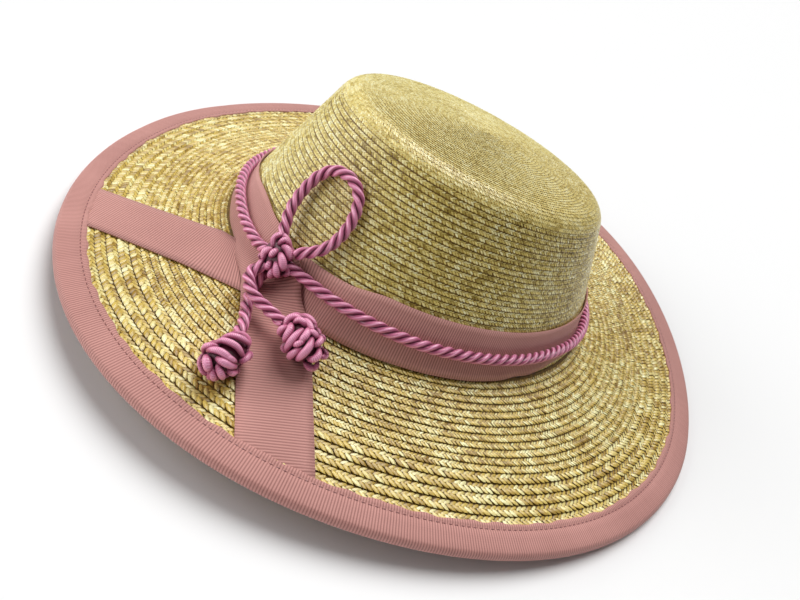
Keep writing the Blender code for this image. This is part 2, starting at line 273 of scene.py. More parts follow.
class Wires:
    """Adds nodes to a tree and joins them."""

    def __init__(self, tree):
        self.tree = tree

    def node(self, kind, inputs=(), **settings):
        node = self.tree.nodes.new(kind)
        for key, value in settings.items():
            setattr(node, key, value)
        for key, value in dict(inputs).items():
            socket = node.inputs[key]
            if isinstance(value, bpy.types.NodeSocket):
                self.tree.links.new(value, socket)
            else:
                socket.default_value = value
        return node

    def out(self, kind, inputs=(), **settings):
        """A node's first output."""
        return self.node(kind, inputs, **settings).outputs[0]

    def math(self, operation, *values):
        return self.out("ShaderNodeMath", enumerate(values), operation=operation)

    def add(self, one, two):
        return self.math("ADD", one, two)

    def subtract(self, one, two):
        return self.math("SUBTRACT", one, two)

    def times(self, one, two):
        return self.math("MULTIPLY", one, two)

    def kept(self, name, kind="FLOAT"):
        """What the points that come in carry under a name."""
        return self.out("GeometryNodeInputNamedAttribute", {"Name": name}, data_type=kind)

    def keep_value(self, geometry, name, value):
        return self.out("GeometryNodeStoreNamedAttribute",
                        {"Geometry": geometry, "Name": name, "Value": value},
                        data_type="FLOAT", domain="POINT")

    def between(self, low, high, seed):
        """A random number for each point."""
        node = self.node("FunctionNodeRandomValue", {2: low, 3: high, "Seed": seed}, data_type="FLOAT")
        return node.outputs[1]

    def spread(self, start):
        """Points at the tree's pitch along the guide lines that come in."""
        line = self.out("GeometryNodeMeshToCurve", {"Mesh": start["Geometry"]})
        return self.out("GeometryNodeResampleCurve", {"Curve": line, "Length": start["Pitch"]}, mode="LENGTH")

    def finish(self, start, geometry):
        """Gives the made pieces their material and ends the tree."""
        dressed = self.out("GeometryNodeSetMaterial", {"Geometry": geometry, "Material": start["Material"]})
        self.node("NodeGroupOutput", {"Geometry": dressed})


# %% [markdown]
# ## The twisted cord
# The cord is three strands laid round each other. A tube with a drawn pattern would have a
# straight outline, so each strand is a real tube that follows a helix round the cord's own
# line. The helix needs a frame that doesn't flip as the line bends: each step turns the
# last one only as far as the line itself turns.

# %% Strands round a line
CORD_RADIUS = 0.0024
LAY = 0.0147
ROPE_STEP = 0.0007


def frames_along(path):
    """Two side vectors at each point, carried along with no twist."""
    tangent = unit(np.gradient(path, axis=0))
    side = np.cross(tangent[0], (0.31, 0.2, 0.93))
    sides = []
    for direction in tangent:
        side = side - direction * side.dot(direction)
        side = side / np.linalg.norm(side)
        sides.append(side)
    sides = np.array(sides)
    return sides, np.cross(tangent, sides)


def tube(path, radius, sides=10, start=0.0):
    """Points, faces and UV of one tube with closed ends; the radius may change along it."""
    one, two = frames_along(path)
    around = np.linspace(0, 2 * np.pi, sides, endpoint=False)
    radius = np.broadcast_to(radius, (len(path),))[:, None, None]
    ring = one[:, None] * np.cos(around)[None, :, None] + two[:, None] * np.sin(around)[None, :, None]
    points = path[:, None] + ring * radius
    travelled = travelled_along(path) + start
    uv = np.stack(np.broadcast_arrays(travelled[:, None], (around / (2 * np.pi))[None]), -1)
    faces = grid_faces(len(path), sides, False, True)[:, ::-1]
    points, uv = points.reshape(-1, 3), uv.reshape(-1, 2)
    caps = []
    for first, centre, flip in ((0, path[0], False), ((len(path) - 1) * sides, path[-1], True)):
        tip = len(points)
        points = np.concatenate([points, [centre]])
        uv = np.concatenate([uv, uv[first:first + 1]])
        for k in range(sides):
            pair = (first + k, first + (k + 1) % sides)
            caps.append((tip, *(pair[::-1] if flip else pair), tip))
    return points, np.concatenate([faces, np.array(caps)]), uv


def join_parts(parts):
    points, faces, uvs = zip(*parts)
    bases = np.cumsum([0] + [len(p) for p in points])
    faces = [f + base for f, base in zip(faces, bases)]
    return np.concatenate(points), np.concatenate(faces), np.concatenate(uvs)


def add_parts(name, parts, shade_depth):
    """One object from several tubes; how deep each point lies below the outline is kept on it, and sets where
    the painted highlight and the painted shade go.
    """
    piece = add_mesh(name, *join_parts(parts))
    set_values(piece.data, "shade_depth", "FLOAT", np.clip(shade_depth, 0, 1))
    return piece


def add_rope(name, route):
    """Three strands twisted round a route."""
    path = resample(route, ROPE_STEP)
    one, two = frames_along(path)
    travelled = travelled_along(path)
    strands, shade_depth = [], []
    for strand in range(3):
        phase = 2 * np.pi * (strand / 3 - travelled / LAY)
        centre = path + 0.53 * CORD_RADIUS * (one * np.cos(phase)[:, None] + two * np.sin(phase)[:, None])
        strands.append(tube(centre, 0.485 * CORD_RADIUS, start=strand * 0.37))
        # How deep each point lies inside the cord's outline: shallow points get the painted highlight, deep
        # ones the painted shade between strands.
        skin = strands[-1][0][:-2].reshape(len(path), -1, 3)
        away = np.linalg.norm(skin - path[:, None], axis=-1) / CORD_RADIUS
        shade_depth.append(np.concatenate([((1.0 - away) / 0.36).ravel(), (0.5, 0.5)]))
    return add_parts(name, strands, np.concatenate(shade_depth))


# %% [markdown]
# ## Where the cord lies
# The cord's ring lies round the band, both of its ends go into a wound knot in front, and
# from the same knot come one open loop and two short tails with a ball knot each. The
# routes are the same as in the solids. Each end runs on into its knot, as the real one does.

# %% Routes and knots' places
RIBBON, GAP = 0.0010, 0.0003


class Knot:
    """The middle of a wound knot, its three directions and its full sizes."""

    def __init__(self, near, far, facing, sizes):
        self.centre = (near + far) / 2
        self.along = unit(far - near)
        self.across = unit(np.cross(self.along, facing))
        self.outward = unit(np.cross(self.across, self.along))
        self.axes = np.stack([self.across, self.outward, self.along])
        self.sizes = np.array(sizes)

    def at(self, longitude, latitude, swell):
        """Points on the knot's egg, made larger or smaller by the swell."""
        half = self.sizes / 2
        x = half[0] * np.cos(latitude) * np.cos(longitude)
        y = half[1] * np.cos(latitude) * np.sin(longitude)
        z = half[2] * np.sin(latitude)
        return self.centre + spot(x, y, z) @ self.axes * swell


def brim_table(rows):
    return over_brim(*np.array(rows).T)


def wall_table(rows):
    return over_wall(*np.array(rows).T)


knot_off = 3 * GAP + RIBBON + 0.0055
knot_ends = wall_table([(-94.6, 0.062, knot_off), (-103.6, 0.253, knot_off)])
knot_facing = normal_of(wall_point, np.radians(np.array([-99.0])), np.array([0.1]))[0]
cluster = Knot(knot_ends[0], knot_ends[1], knot_facing, (0.0145, 0.0110, 0.0200))
floor_up = np.array((0.0, 0.0, 1.0))
left_pair = brim_table([(-88.1, 0.413, 0.0086), (-87.6, 0.715, 0.0086)])
right_pair = brim_table([(-86.5, 0.159, 0.0097), (-74.3, 0.336, 0.0097)])
ball_left = Knot(left_pair[0], left_pair[1], floor_up, (0.0162, 0.0162, 0.0225))
ball_right = Knot(right_pair[0], right_pair[1], floor_up, (0.0162, 0.0162, 0.0245))

loop_route = wall_table([(-105.3, 0.378, 0.0062), (-106.9, 0.466, 0.0054), (-107.5, 0.548, 0.0046),
                         (-107.2, 0.634, 0.0036), (-104.7, 0.708, 0.0028), (-99.9, 0.738, 0.0028),
                         (-95.5, 0.728, 0.0028), (-91.9, 0.680, 0.0028), (-89.9, 0.606, 0.0030),
                         (-89.0, 0.516, 0.0036), (-89.3, 0.423, 0.0045), (-90.9, 0.337, 0.0058)])
tail_left_route = brim_table([(-98.4, 0.105, 0.0043), (-96.1, 0.184, 0.0042), (-93.9, 0.250, 0.0043),
                              (-91.4, 0.330, 0.0055)])
tail_right_route = brim_table([(-99.4, 0.120, 0.0110), (-97.3, 0.170, 0.0107), (-94.6, 0.203, 0.0105),
                               (-91.6, 0.203, 0.0098)])
ring_table = np.array([(-91.0, 0.167), (-78.0, 0.157), (-57.0, 0.143), (-29.0, 0.145), (-10.0, 0.145),
                       (2.0, 0.125), (16.0, 0.095), (60.0, 0.090), (150.0, 0.090), (194.0, 0.095),
                       (206.0, 0.120), (218.0, 0.138), (232.0, 0.140), (242.0, 0.127), (252.0, 0.124)])
ring_angles = np.arange(-91.0, 252.5, 3.5)
ring_heights = np.interp(ring_angles, ring_table[:, 0], ring_table[:, 1])
ring_off = np.interp(ring_angles, (-91.0, -70.0, -25.0, 5.0, 200.0, 225.0, 240.0, 252.0),
                     (0.0043, 0.0036, 0.0034, 0.00265, 0.00265, 0.0034, 0.0038, 0.0043))
ring_route = over_wall(ring_angles, ring_heights, ring_off)


END_DEPTH = 0.55


def into(knot, towards):
    """A point inside a knot on the way to its middle, where a cord's end is hidden."""
    return knot.centre + (towards - knot.centre) * (1 - END_DEPTH)


def run_in(route, start_knot, end_knot):
    return smooth([into(start_knot, route[0]), *route, into(end_knot, route[-1])], ROPE_STEP)


loop_path = run_in(loop_route, cluster, cluster)
tail_left_path = run_in(tail_left_route, cluster, ball_left)
tail_right_path = run_in(tail_right_route, cluster, ball_right)
ring_path = run_in(ring_route, cluster, cluster)
cord_loop = add_rope("twisted_loop", loop_path)
cord_tail_left = add_rope("twisted_tail_left", tail_left_path)
cord_tail_right = add_rope("twisted_tail_right", tail_right_path)
cord_ring = add_rope("twisted_ring", ring_path)
for path in (loop_path, tail_left_path, tail_right_path, ring_path):
    print("cord stretch:", round(length_of(path), 4), "m")

# %% [markdown]
# ## The wound knots
# A knot shows the same strand again and again: it comes up from between two others, bows
# over the knot and dives again, so that each pass looks like a leaf with two pointed ends.
# The passes of the three knots are given as seen from the front, in millimetres right and
# up of the knot's middle, and each one is laid on the knot's egg. The far side gets the same
# passes once more, and an egg inside closes the gaps. The egg is painted dark and each pass
# is painted darker towards its ends, where it dives: painted shade.

# %% Passes over an egg
VIEW_RIGHT, VIEW_UP, VIEW_NEAR = np.array(camera_x), np.array(camera_y), np.array(back)


PASS_RADIUS, CORE_SHARE = 0.00118, 0.72


def leaf(knot, spots, radius, side):
    """One pass of the strand over the near (1) or far (-1) side of a knot."""
    spots = smooth(np.array(spots) * 0.001, 0.0006)
    flat = spots[:, :1] * VIEW_RIGHT + spots[:, 1:] * VIEW_UP
    half = knot.sizes / 2 - 0.55 * radius
    start, ray = flat @ knot.axes.T / half, knot.axes @ VIEW_NEAR / half
    a, b, c = ray @ ray, start @ ray, (start * start).sum(1) - 1
    near = (-b + side * np.sqrt(np.maximum(b * b - a * c, 0))) / a
    away = flat + near[:, None] * VIEW_NEAR
    away = away / np.maximum(1, np.linalg.norm(away @ knot.axes.T / half, axis=1))[:, None]
    bow = np.sin(np.linspace(0, np.pi, len(away))) ** 0.6
    away = away * (1 - 0.20 * (1 - bow))[:, None]
    return tube(knot.centre + away, radius * (0.45 + 0.55 * bow), sides=12)


def core(knot, share):
    """A plain egg that closes the gaps between the strands."""
    latitude = np.linspace(-np.pi / 2 + 0.05, np.pi / 2 - 0.05, 14)[:, None]
    longitude = np.linspace(0, 2 * np.pi, 24, endpoint=False)[None]
    points = knot.at(longitude + 0 * latitude, latitude + 0 * longitude, share)
    uv = np.stack(np.broadcast_arrays(longitude * 0.01, latitude), -1)
    return points.reshape(-1, 3), grid_faces(14, 24, False, True), uv.reshape(-1, 2)


def add_knot(name, knot, passes):
    """The passes on both sides round a core; the passes' ends and the core are painted dark, as painted
    shade.
    """
    strands = [leaf(knot, spots, PASS_RADIUS * width, side)
               for side in (1.0, -1.0) for spots, width in passes]
    shade_depth = []
    for points, _, _ in strands:
        local = (points - knot.centre) @ knot.axes.T
        away = np.linalg.norm(local / (knot.sizes / 2), axis=1)
        # Points sunk below the egg's outline, as at each pass's ends, get painted shade; those on it get the
        # painted highlight.
        shade_depth.append((1.02 - away) / 0.30)
    middle = core(knot, CORE_SHARE)
    # The core is painted fully dark: painted shade between the strands.
    shade_depth.append(np.ones(len(middle[0])))
    return add_parts(name, [*strands, middle], np.concatenate(shade_depth))


LEFT_PASSES = [
    ([(-6.3, 0.0), (-4.8, -1.3), (-4.3, -3.5), (-5.2, -5.2)], 1.49),
    ([(-7.6, -1.3), (-8.7, -3.1), (-8.5, -5.4), (-7.0, -6.9), (-4.8, -6.9)], 0.95),
    ([(-6.3, 1.9), (-3.7, 2.4), (-0.3, 1.9), (2.6, -0.2), (4.5, -3.1)], 1.10),
    ([(-3.7, 4.3), (-0.7, 5.4), (2.3, 4.7), (5.2, 2.8), (7.5, -0.9)], 1.05),
    ([(-1.5, 6.2), (1.5, 6.9), (4.5, 6.2), (7.1, 4.7), (9.1, 2.4)], 1.00),
    ([(-1.8, -0.5), (0.8, -1.7), (3.0, -3.1), (4.9, -4.6)], 1.20),
    ([(-1.5, -3.1), (-0.3, -5.0), (0.0, -7.2), (-0.9, -8.5)], 1.15),
    ([(-2.9, -4.6), (-2.8, -6.9), (-3.3, -9.1)], 1.08),
    ([(-4.1, -6.5), (-5.6, -8.4), (-7.0, -8.0)], 1.00),
    ([(-7.8, 0.9), (-9.1, -2.0), (-9.5, -5.0), (-8.2, -7.6)], 1.00),
    ([(-8.3, 0.6), (-6.3, 3.0), (-3.3, 3.9), (-1.5, 3.7)], 0.95),
    ([(6.0, -2.8), (7.5, -0.9), (8.6, 0.9)], 1.00),
    ([(1.9, -5.0), (3.4, -6.1), (4.5, -6.1)], 1.00),
    ([(0.4, 0.2), (2.6, -0.2), (5.2, -2.4)], 0.90)]
RIGHT_PASSES = [
    ([(-4.6, 7.3), (-3.8, 4.6), (-5.3, 1.8), (-7.3, -0.1)], 1.25),
    ([(0.9, 5.3), (-1.4, 2.6), (-4.2, -0.9), (-6.5, -4.2)], 1.25),
    ([(2.8, 5.3), (2.1, 2.6), (-0.3, -0.1)], 1.20),
    ([(4.8, 1.8), (3.2, -1.7), (0.5, -4.8), (-1.8, -7.5)], 1.32),
    ([(6.4, 2.2), (7.1, 0.7), (5.6, -1.7)], 1.05),
    ([(0.5, -2.4), (-2.6, -4.0), (-4.6, -6.0), (-4.2, -8.1)], 1.15),
    ([(7.5, -2.8), (6.0, -5.2), (3.2, -7.1)], 1.20),
    ([(9.1, -3.6), (9.3, -5.2), (7.5, -6.3)], 1.00),
    ([(6.7, -8.7), (4.0, -9.8), (1.3, -8.7)], 1.05),
    ([(-9.6, 1.8), (-6.9, 4.6), (-4.9, 5.7)], 1.20),
    ([(-2.6, -1.3), (-0.7, -0.5), (1.7, 0.7)], 1.00),
    ([(-7.4, -1.3), (-7.8, -3.2), (-7.0, -5.2)], 1.00),
    ([(-6.8, 5.2), (-5.2, 7.8), (-2.4, 8.8), (0.4, 8.0)], 1.20),
    ([(-2.2, 9.6), (0.8, 9.4), (3.4, 7.6), (5.4, 4.8)], 1.15),
    ([(-3.2, 7.6), (-0.4, 7.6), (2.2, 6.2)], 1.10),
    ([(2.0, 3.6), (4.4, 3.4), (6.6, 1.2)], 1.00),
    ([(-0.6, 8.8), (2.6, 6.4), (4.8, 3.0)], 1.05)]
CLUSTER_PASSES = [
    ([(-1.1, 4.3), (-1.1, 7.0), (0.8, 8.5), (3.9, 8.5), (6.3, 6.2), (6.3, 2.7)], 1.15),
    ([(1.6, 5.6), (3.5, 6.6), (5.5, 4.7)], 1.05),
    ([(3.2, 4.7), (5.1, 2.3), (5.9, -1.5)], 1.40),
    ([(1.2, 3.1), (-0.3, 1.6), (-1.9, 0.0)], 1.20),
    ([(-1.1, 3.5), (-3.8, 1.9), (-5.0, -1.2)], 1.40),
    ([(2.4, 1.6), (3.2, -2.3), (3.5, -5.8)], 1.45),
    ([(-1.9, -1.9), (-2.4, -3.5), (-3.0, -5.0)], 1.15),
    ([(-5.4, -2.3), (-6.1, -5.0), (-6.5, -8.1)], 1.25),
    ([(0.8, -2.3), (0.8, -5.8), (1.2, -8.5)], 1.25),
    ([(-3.4, -7.0), (-4.6, -8.0), (-5.7, -9.1)], 1.05),
    ([(-0.7, -5.0), (-1.6, -6.8), (-2.3, -8.5)], 1.10),
    ([(-7.3, -0.8), (-6.8, 0.5), (-6.1, 1.6)], 0.90),
    ([(4.6, -4.2), (5.3, -6.6), (3.8, -8.9)], 1.10)]
cord_knot = add_knot("wound_knot", cluster, CLUSTER_PASSES)
ball_knot_left = add_knot("wound_ball_left", ball_left, LEFT_PASSES)
ball_knot_right = add_knot("wound_ball_right", ball_right, RIGHT_PASSES)
print("faces in the knots:", [len(k.data.polygons) for k in (cord_knot, ball_knot_left, ball_knot_right)])

# %% [markdown]
# ## Ribbon
# Grosgrain ribbon has fine ribs across its width. The ribs are in the mesh itself: rows of
# points follow each other four to a rib, on a wave with round tops and narrow grooves. The
# band and its two ends are one long ribbon, given by the places of its upper and lower
# edge, so the ribs fan out by themselves where the ribbon bends.

# %% The edges of the long ribbon
TAIL_WIDTH = 0.0275
CROSSING = np.array((-0.0169, -0.1011))
RIB = 0.00112


def brim_spot(x, y):
    """Angle and share of the brim's point above a place in the plan."""
    middle = math.atan2((y - CROWN_CENTRE[1]) / FOOT[1], (x - CROWN_CENTRE[0]) / FOOT[0])
    low, high = middle - 0.5, middle + 0.5
    for _ in range(40):
        middle = (low + high) / 2
        inner, outer = foot_point(middle), rim_point(middle)
        if (outer[0] - inner[0]) * (y - inner[1]) - (outer[1] - inner[1]) * (x - inner[0]) > 0:
            low = middle
        else:
            high = middle
    spoke = (outer - inner)[:2]
    return math.degrees(middle), float((np.array((x, y)) - inner[:2]).dot(spoke) / spoke.dot(spoke))


def tail_edge(heading, along, across, off):
    """A point of a ribbon end that lies on the brim, measured from the crossing."""
    ahead = np.array((math.cos(heading), math.sin(heading)))
    place = CROSSING + ahead * along + np.array((-ahead[1], ahead[0])) * across
    return brim_edge(*brim_spot(*place), off)


def wall_edge(angle, height, off):
    return wall_table([(angle, height, off)])[0]


def brim_edge(angle, share, off):
    return brim_table([(angle, share, off)])[0]


LEFT_HEADING, FRONT_HEADING = math.radians(192.4), math.radians(-44.6)
HALF = TAIL_WIDTH / 2
FLAT = (0.0, 0.5)
edges = []


def add_tail(heading, upper, rows):
    """Rows of an end that lies flat on the brim, by distance from the crossing and height."""
    for along, off in rows:
        edges.append((tail_edge(heading, along, upper, off), tail_edge(heading, along, -upper, off), FLAT))


def add_bridge(rows):
    """Rows from the wall down to the brim, each with how far the middle sinks."""
    for upper, lower, dip in rows:
        edges.append((wall_edge(*upper), brim_edge(*lower), (dip, 0.5)))


add_tail(LEFT_HEADING, -HALF,
         [(along, 0.0015) for along in (0.0965, 0.088, 0.080, 0.068, 0.056, 0.045, 0.037, 0.031)])
add_bridge([((-113.0, 0.050, 0.0017), (-101.0, 0.165, 0.0016), -0.0004),
            ((-105.0, 0.16, 0.0018), (-96.0, 0.125, 0.0018), -0.0015),
            ((-97.0, 0.25, 0.0018), (-91.0, 0.085, 0.0018), -0.0020),
            ((-88.0, 0.265, 0.0018), (-85.5, 0.058, 0.0018), -0.0014)])
top_table = np.array([(-82.0, 0.272), (-79.9, 0.276), (-69.5, 0.317), (-41.5, 0.320), (-13.0, 0.318),
                      (0.0, 0.318), (90.0, 0.30), (180.0, 0.22), (195.0, 0.20), (215.0, 0.25),
                      (237.2, 0.309)])
# Heights on the wall. One below zero is a share on the brim with a minus sign.
low_table = np.array([(-82.0, -0.050), (-70.0, -0.044), (-58.0, -0.034), (-40.0, -0.028), (-29.0, -0.016),
                      (-24.0, 0.002), (-17.0, 0.016), (-10.0, 0.045), (0.0, 0.048),
                      (90.0, 0.030), (202.0, 0.020), (225.0, 0.020), (237.0, 0.004)])
for angle in np.arange(-80.0, 236.0, 5.0):
    top_height = np.interp(angle, top_table[:, 0], top_table[:, 1])
    low_height = np.interp(angle, low_table[:, 0], low_table[:, 1])
    ring_height = np.interp(angle, ring_angles, ring_heights)
    ring_share = (top_height - ring_height) / (top_height - low_height)
    pinch = np.interp(angle, ring_angles, ring_off) - CORD_RADIUS - 0.00022 - (0.0019 - 0.0003 * ring_share)
    if low_height < 0:
        lower = brim_edge(angle, -low_height, 0.0017)
    else:
        lower = wall_edge(angle, low_height, 0.0016)
    edges.append((wall_edge(angle, top_height, 0.0019), lower, (pinch, ring_share)))
add_bridge([((241.0, 0.305, 0.0020), (242.0, 0.015, 0.0018), -0.0006),
            ((248.6, 0.288, 0.0022), (248.0, 0.055, 0.0022), -0.0008),
            ((257.0, 0.272, 0.0028), (253.5, 0.085, 0.0028), -0.0018),
            ((266.0, 0.210, 0.0032), (257.5, 0.120, 0.0030), -0.0030),
            ((272.0, 0.075, 0.0034), (260.5, 0.170, 0.0030), -0.0012)])
edges.append((brim_edge(277.0, 0.050, 0.0034), brim_edge(264.0, 0.240, 0.0028), FLAT))
add_tail(FRONT_HEADING, HALF, [(0.036, 0.0021), (0.046, 0.0018), (0.056, 0.0015), (0.070, 0.0015),
                               (0.082, 0.0015), (0.0935, 0.0015)])
both = np.array([np.concatenate(pair) for pair in edges])
print("ribbon rows given by hand:", len(both))

# %% [markdown]
# The rows between the given ones come from a smooth curve through both edges at once. The
# ribbon's cross-section is a soft bow: where it bridges the corner between wall and brim it
# sinks towards the corner, but doesn't reach it.

# %% Weave the long ribbon
RIB_HEIGHT = 0.00018
RIB_STEPS = 4
CUT_INSET = 0.0085
UNDER_BINDING, UNDER_BINDING_RAMP, UNDER_BINDING_SINK = 0.0129, 0.0012, 0.00050


def rib_wave(turns):
    """Rounded ribs with narrow grooves between them."""
    return RIB_HEIGHT * (np.sqrt(np.abs(np.sin(np.pi * turns))) - 0.6)


def inset_of(points):
    """How far in from the rim a place is, seen from above."""
    angle = np.arctan2(points[..., 1] / RIM[1], points[..., 0] / RIM[0])
    return np.linalg.norm(rim_point(angle)[..., :2], axis=-1) - np.linalg.norm(points[..., :2], axis=-1)


def ribbed_sheet(name, top, bottom, sink, columns):
    """A ribbon between two edges, with ribs across; its ends are cut where the binding covers them."""
    middle = (top + bottom) / 2
    v = np.linspace(0, 1, columns)[None, :, None]
    peak = np.clip(sink[:, 3:], 0.1, 0.92)[:, None]
    bow = np.sin(np.pi / 2 * np.where(v < peak, v / peak, (1 - v) / (1 - peak)))
    points = top[:, None] * (1 - v) + bottom[:, None] * v + sink[:, None, :3] * bow
    along = np.gradient(points, axis=0)
    across = np.gradient(points, axis=1)
    facing = unit(np.cross(across, along))
    travelled = travelled_along(middle)
    wave = rib_wave(travelled / RIB)[:, None, None]
    inset = inset_of(points)[..., None]
    under_binding = np.clip((UNDER_BINDING - inset) / UNDER_BINDING_RAMP, 0, 1)
    points = points + facing * (wave * np.clip(8 * v * (1 - v), 0, 1) - UNDER_BINDING_SINK * under_binding)
    uv = np.stack(np.broadcast_arrays(travelled[:, None], v[..., 0] * TAIL_WIDTH), -1)
    faces = grid_faces(len(top), columns, False, False)
    kept = inset.reshape(-1)[faces].min(axis=1) > CUT_INSET
    return add_mesh(name, points, faces[kept], uv), travelled[-1]


fine = smooth(both, 0.002)
fine_middle = (fine[:, :3] + fine[:, 3:6]) / 2
walk = travelled_along(fine_middle)
wanted = np.arange(0, walk[-1], RIB / RIB_STEPS)
rows = np.stack([np.interp(wanted, walk, fine[:, k]) for k in range(8)], -1)
span = unit(rows[:, 3:6] - rows[:, :3])
ahead = unit(np.gradient((rows[:, :3] + rows[:, 3:6]) / 2, axis=0))
facing = unit(np.cross(span, ahead))
sink = np.concatenate([facing * rows[:, 6:7], rows[:, 7:]], axis=1)
long_ribbon, ribbon_length = ribbed_sheet("grosgrain_band", rows[:, :3], rows[:, 3:6], sink, 9)
print("ribbon length:", round(float(ribbon_length), 3), "m, faces", len(long_ribbon.data.polygons))

# %% [markdown]
# ## The bound edge
# The binding is the same ribbon folded over the rim. It is a closed band whose
# cross-section runs from its inner edge on top, round the fold, to its inner edge below.

# %% Fold the binding over the rim
BINDING_WIDTH, BINDING_INSIDE = 0.0120, 0.0030
FOLD, FOLD_START = 0.0014, 0.0036
GROOVE_INSET, GROOVE_DEPTH = 0.0096, 0.00048
RIM_LENGTH = 1.05
RUFFLE, RUFFLED_FROM, FLOOR_CLEARANCE = 0.00022, 0.0115, 0.00012
binding_turns = int(round(RIM_LENGTH / RIB)) * RIB_STEPS
binding_angle = np.linspace(0, 2 * np.pi, binding_turns, endpoint=False)
cover = STRAW / 2 + GAP + RIBBON
profile = [(BINDING_WIDTH, cover - 0.0004), (0.0118, cover - 0.0001), (0.0103, cover),
           (GROOVE_INSET, cover - GROOVE_DEPTH), (0.0088, cover), (0.0062, cover + 0.0001),
           (FOLD_START, cover)]
for bend in np.linspace(math.radians(90), math.radians(-90), 7):
    profile.append((FOLD * (1 - math.cos(bend)), cover * math.sin(bend)))
inner_face = STRAW / 2 + GAP
profile += [(0.0060, -cover), (BINDING_WIDTH, -cover), (BINDING_WIDTH, -inner_face),
            (BINDING_INSIDE, -inner_face), (BINDING_INSIDE, inner_face), (BINDING_WIDTH, inner_face)]
ruffle = RUFFLE * (np.sin(61 * binding_angle) + np.sin(97 * binding_angle + 1.0)
                   + np.sin(23 * binding_angle))
width = brim_width(binding_angle)
lines = []
for inset, lift in profile:
    line = brim_point(binding_angle, 1 - (inset + (ruffle if inset > RUFFLED_FROM else 0.0)) / width)
    line[:, 2] += lift - STRAW / 2
    if lift <= -cover and inset <= 0.0045:
        line[:, 2] = np.minimum(line[:, 2], rim_point(binding_angle)[:, 2] - STRAW / 2 - cover)
    lines.append(line)
binding_points = np.stack(lines, axis=1)
binding_points[..., 2] = np.maximum(binding_points[..., 2], FLOOR_CLEARANCE)
rim_walk = travelled_along(rim_point(binding_angle))
rib_count = round(rim_walk[-1] / RIB)
forward = np.roll(binding_points, -1, 0) - np.roll(binding_points, 1, 0)
out = unit(np.cross(np.gradient(binding_points, axis=1), forward))
out[:, -4:] = 0.0
rib_turns = rib_count * rim_walk / (rim_walk[-1] + rim_walk[1])
binding_points = binding_points + out * rib_wave(rib_turns)[:, None, None]
profile_walk = np.linspace(0, 0.026, len(profile))
binding_uv = np.stack(np.broadcast_arrays((rib_turns * RIB)[:, None], profile_walk[None]), -1)
binding = add_mesh("grosgrain_binding", binding_points,
                   grid_faces(binding_turns, len(profile), True, True), binding_uv)
print("ribs on the binding:", rib_count)

# %% [markdown]
# The binding is held by one row of machine stitches near its inner edge. Seen close, they
# are short dark dashes in a shallow groove, so they are made as small beads of thread.

# %% Stitch the binding
STITCH_PITCH, STITCH_LENGTH, STITCH_SINK = 0.0026, 0.0016, 0.00034
STITCH_WIDTH, STITCH_HEIGHT = 0.00052, 0.00045


def stitch_tree():
    tree = new_tree("stitches", [("Pitch", "NodeSocketFloat", STITCH_PITCH),
                                 ("Length", "NodeSocketFloat", STITCH_LENGTH),
                                 ("Material", "NodeSocketMaterial", None)])
    w = Wires(tree)
    start = w.node("NodeGroupInput").outputs
    points = w.spread(start)
    bead = w.out("GeometryNodeMeshUVSphere", {"Segments": 6, "Rings": 4, "Radius": 0.5})
    tangent = w.out("GeometryNodeInputTangent")
    turned = w.out("FunctionNodeAlignRotationToVector", {"Vector": tangent}, axis="X")
    size = w.out("ShaderNodeCombineXYZ", {0: start["Length"], 1: STITCH_WIDTH, 2: STITCH_HEIGHT})
    placed = w.out("GeometryNodeInstanceOnPoints", {"Points": points, "Instance": bead, "Rotation": turned,
                                                    "Scale": size})
    w.finish(start, w.out("GeometryNodeRealizeInstances", {"Geometry": placed}))
    return tree


stitch_angle = np.linspace(0, 2 * np.pi, 400, endpoint=False)
stitch_line = brim_point(stitch_angle, 1 - GROOVE_INSET / brim_width(stitch_angle))
stitch_line[:, 2] += cover - STRAW / 2 - STITCH_SINK
print("stitches to come:", round(float(travelled_along(stitch_line)[-1]) / STITCH_PITCH))

# %% [markdown]
# The long ribbon is still a sheet with no thickness. Half a millimetre is added on one
# side, so that its edges catch the light.

# %% Give the ribbon its thickness
RIBBON_THICKNESS = 0.0005
solidify = long_ribbon.modifiers.new("thickness", "SOLIDIFY")
solidify.thickness = RIBBON_THICKNESS
solidify.offset = -1.0
print("ribbon thickness:", RIBBON_THICKNESS * 1000, "mm")

# %% [markdown]
# ## The plait
# Each round of the plait is a flat braid. Seen close, it is two rows of short slanting
# straws that meet in a zigzag, and each round overlaps the next one, which leaves a dark
# line between them: shadow under the overlap, deepened by painted shade at every straw's
# edges and by the ground beneath, which is painted dark. Thousands of straws call for
# Geometry Nodes: a guide line per round, points at an even pitch along it, and one small
# arched straw on each point.

# %% The plait's node tree
def straw_shape(w, start, rows, low, high, slant, height):
    """One domed straw between two places across the plait, in units of pitch and half width."""
    grid = w.out("GeometryNodeMeshGrid", {"Size X": 1.0, "Size Y": 1.0, "Vertices X": rows,
                                          "Vertices Y": rows})
    parts = w.node("ShaderNodeSeparateXYZ", {0: w.out("GeometryNodeInputPosition")}).outputs
    end = w.math("POWER", w.math("ABSOLUTE", w.times(parts[1], 2.0)), 2.5)
    arch = w.subtract(1.0, w.math("POWER", w.times(parts[0], 2.0), 2.0))
    girth = w.subtract(1.18, w.times(end, 0.40))
    lean_by = w.times(w.times(parts[1], start["Slant"]), slant)
    x = w.add(w.times(parts[0], girth), lean_by)
    y = w.add(w.times(parts[1], high - low), (high + low) / 2)
    middle = w.times(arch, w.subtract(1.0, w.times(end, 0.6)))
    z = w.times(w.times(middle, start["Bulge"]), height)
    z = w.add(z, w.times(w.subtract(1.0, y), start["Lift"]))
    z = w.subtract(z, w.times(parts[0], w.times(start["Bulge"], 0.5)))
    moved = w.out("ShaderNodeCombineXYZ", {0: x, 1: y, 2: z})
    # The attribute middle is high on the straw's open face and low at its edges; the material paints shade
    # where it is low.
    marked = w.keep_value(grid, "middle", middle)
    return w.out("GeometryNodeSetPosition", {"Geometry": marked, "Position": moved})


